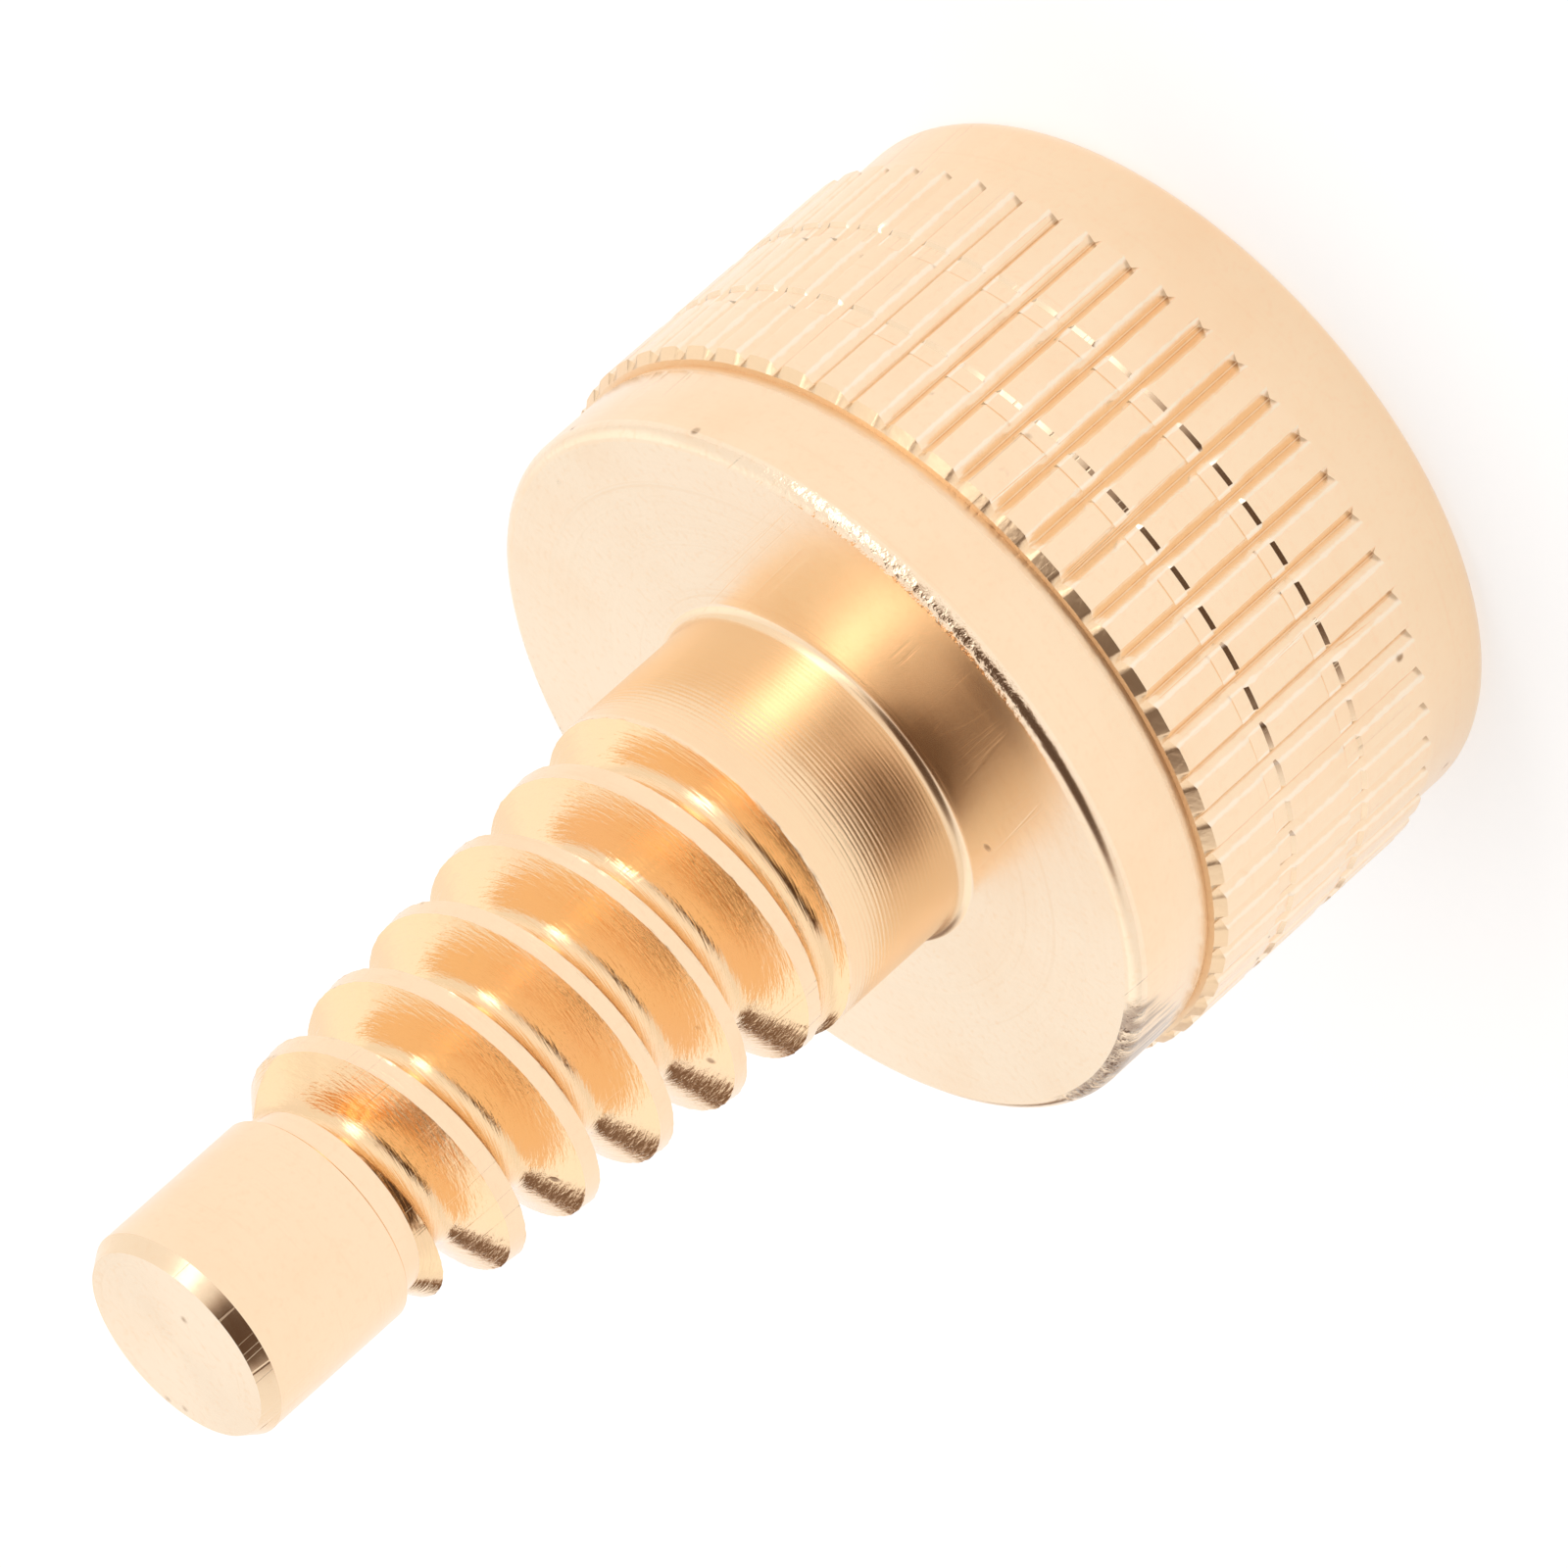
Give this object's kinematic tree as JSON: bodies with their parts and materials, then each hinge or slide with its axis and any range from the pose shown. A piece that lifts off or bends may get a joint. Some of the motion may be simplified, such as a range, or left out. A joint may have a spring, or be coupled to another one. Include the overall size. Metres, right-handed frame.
{
  "type": "cue joint screw",
  "caption": "Turned brass joint screw for a pool cue: knurled round head with a smooth flange, plain neck, tapered coarse thread and a smooth pilot tip.",
  "frame": {"origin": "centre of the bearing end of the head, on the screw's axis", "axes": "+Z along the screw's axis, from the head towards the pilot tip; -Y faces the viewer"},
  "size_m": [0.0222, 0.0222, 0.0375],
  "materials": {
    "brass": "bright turned brass with fine turning lines, burrs and small scratches"
  },
  "bodies": {
    "root": {"joint_screw": "brass"}
  },
  "joints": []
}
